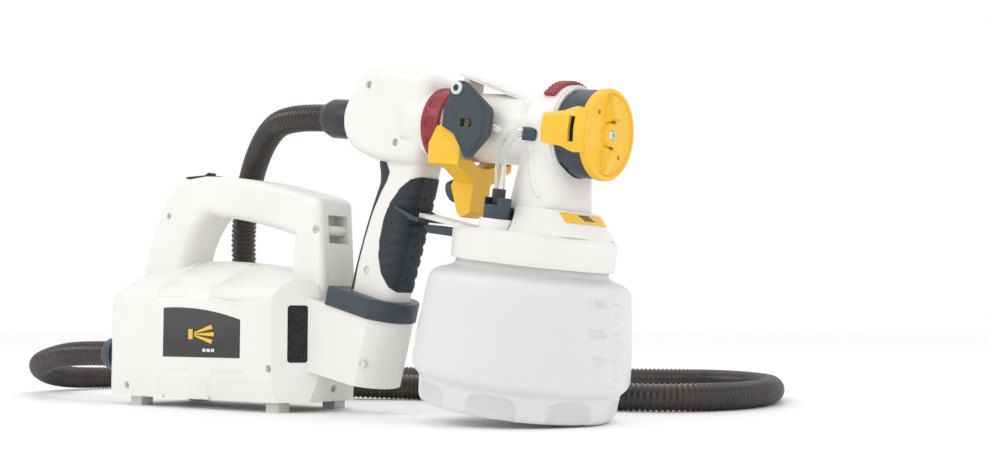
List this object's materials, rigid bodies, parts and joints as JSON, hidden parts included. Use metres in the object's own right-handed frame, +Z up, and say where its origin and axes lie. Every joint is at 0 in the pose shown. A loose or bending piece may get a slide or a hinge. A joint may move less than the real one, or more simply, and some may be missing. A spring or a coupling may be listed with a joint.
{
  "type": "paint sprayer",
  "caption": "Turbine paint sprayer: cream base unit with carry handle and gun dock, docked spray gun with trigger, nozzle and translucent cup, and a corrugated air hose.",
  "frame": {"origin": "on the floor, under the middle of the sprayer's length and width, measured without the air hose", "axes": "+X along the base unit towards the gun's nozzle, +Z up, -Y is the near side with the name plate"},
  "size_m": [0.7142, 0.5307, 0.2629],
  "materials": {
    "shell_cream": "fine satin moulding",
    "grip_slate": "soft touch",
    "accent_yellow": "satin",
    "ring_red": "satin",
    "part_slate": "satin",
    "trim_dark": "satin",
    "hose_dark": "glossy corrugated",
    "jar_milky": "translucent",
    "vent_clear": "clear soft tube",
    "foam": "open foam",
    "plate_dark": "gloss print",
    "metal": "machined",
    "screw_zinc": "plated",
    "inner_grey": "satin",
    "magnet": "sintered",
    "switch_red": "gloss",
    "foot_rubber": "matt",
    "nozzle_metal": "machined",
    "duct_white": "satin"
  },
  "bodies": {
    "base": {"housing_near_half": "shell_cream", "housing_far_half": "shell_cream", "name_plate": "plate_dark", "filter_foams": "foam", "feet": "foot_rubber", "lashing_pin": "shell_cream", "housing_screws": "screw_zinc", "switch_bezel": "trim_dark", "motor_can": "metal", "motor_bearings": "metal", "motor_magnets": "magnet", "fan_chamber": "inner_grey", "motor_cradle": "inner_grey", "air_outlet": "part_slate", "cable_inlet": "trim_dark", "dock_near_half": "shell_cream", "dock_far_half": "shell_cream", "dock_screw": "screw_zinc", "dock_collar": "part_slate", "hose_plug": "part_slate", "air_hose": "hose_dark"},
    "switch": {"power_switch": "switch_red"},
    "rotor": {"motor_shaft": "metal", "motor_rotor": "metal", "fan_wheel": "inner_grey"},
    "gun": {"gun_shell_near": "shell_cream", "gun_shell_far": "shell_cream", "gun_screws": "screw_zinc", "grip_pad_near": "grip_slate", "grip_pad_far": "grip_slate", "grip_back_strip": "grip_slate", "hose_cuff": "trim_dark", "air_duct": "duct_white", "front_housing": "shell_cream", "material_channel": "duct_white", "fluid_nozzle": "nozzle_metal", "needle_spring": "metal", "barrel_cover": "shell_cream", "side_plate_near": "part_slate", "side_plate_far": "part_slate", "pivot_screws": "screw_zinc", "container_seal": "foam", "container_lid": "shell_cream", "lid_clip": "part_slate", "grip_fork": "part_slate", "badge": "accent_yellow", "suction_tube": "duct_white", "valve_cover": "part_slate", "valve_diaphragm": "foam", "tube_connector": "trim_dark", "vent_tube": "vent_clear", "vent_nipple": "part_slate"},
    "ring": {"coupling_ring": "ring_red"},
    "needle": {"needle": "metal"},
    "trigger": {"trigger": "accent_yellow"},
    "knob": {"flow_knob": "part_slate"},
    "nut": {"union_nut": "part_slate"},
    "cap": {"air_cap": "accent_yellow"},
    "slider": {"width_slider": "ring_red"},
    "jar": {"container": "jar_milky"}
  },
  "joints": [
    {"name": "gun_lift", "type": "slide", "parent": "base", "child": "gun", "axis": [0.2588, 0, 0.9659], "range_m": [0, 0.1]},
    {"name": "switch_rock", "type": "hinge", "parent": "base", "child": "switch", "pos_m": [-0.1675, 0, 0.188], "axis": [0, 1, 0], "range_deg": [-4, 4], "stiffness_Nm_per_rad": 0.02},
    {"name": "fan_spin", "type": "hinge", "parent": "base", "child": "rotor", "pos_m": [-0.1245, 0, 0.054], "axis": [1, 0, 0], "continuous": true},
    {"name": "ring_turn", "type": "hinge", "parent": "gun", "child": "ring", "pos_m": [0.10344, 0, 0.21371], "axis": [0.9912, 0, -0.1323], "range_deg": [-45, 45]},
    {"name": "trigger_pull", "type": "hinge", "parent": "gun", "child": "trigger", "pos_m": [0.13635, 0, 0.23353], "axis": [0, 1, 0], "range_deg": [0, 8], "stiffness_Nm_per_rad": 0.6},
    {"name": "needle_slide", "type": "slide", "parent": "gun", "child": "needle", "axis": [-0.9912, 0, 0.1323], "range_m": [0, 0.0034], "deforming": ["needle_spring"]},
    {"name": "knob_turn", "type": "hinge", "parent": "trigger", "child": "knob", "pos_m": [0.10614, 0, 0.16593], "axis": [-0.9721, 0, -0.2345], "range_deg": [-180, 180]},
    {"name": "nut_turn", "type": "hinge", "parent": "gun", "child": "nut", "pos_m": [0.22238, 0, 0.19784], "axis": [0.9912, 0, -0.1323], "range_deg": [-120, 120]},
    {"name": "cap_turn", "type": "hinge", "parent": "gun", "child": "cap", "pos_m": [0.2313, 0, 0.19665], "axis": [0.9912, 0, -0.1323], "range_deg": [-15, 15]},
    {"name": "width_adjust", "type": "hinge", "parent": "gun", "child": "slider", "pos_m": [0.20306, 0, 0.20042], "axis": [0.9912, 0, -0.1323], "range_deg": [-10, 10]},
    {"name": "cup_turn", "type": "hinge", "parent": "gun", "child": "jar", "pos_m": [0.16951, 0, 0.07374], "axis": [0.1323, 0, 0.9912], "range_deg": [-120, 120]}
  ],
  "couplings": [
    {"joint": "needle_slide", "follows": "trigger_pull", "m_per_rad": 0.024}
  ]
}
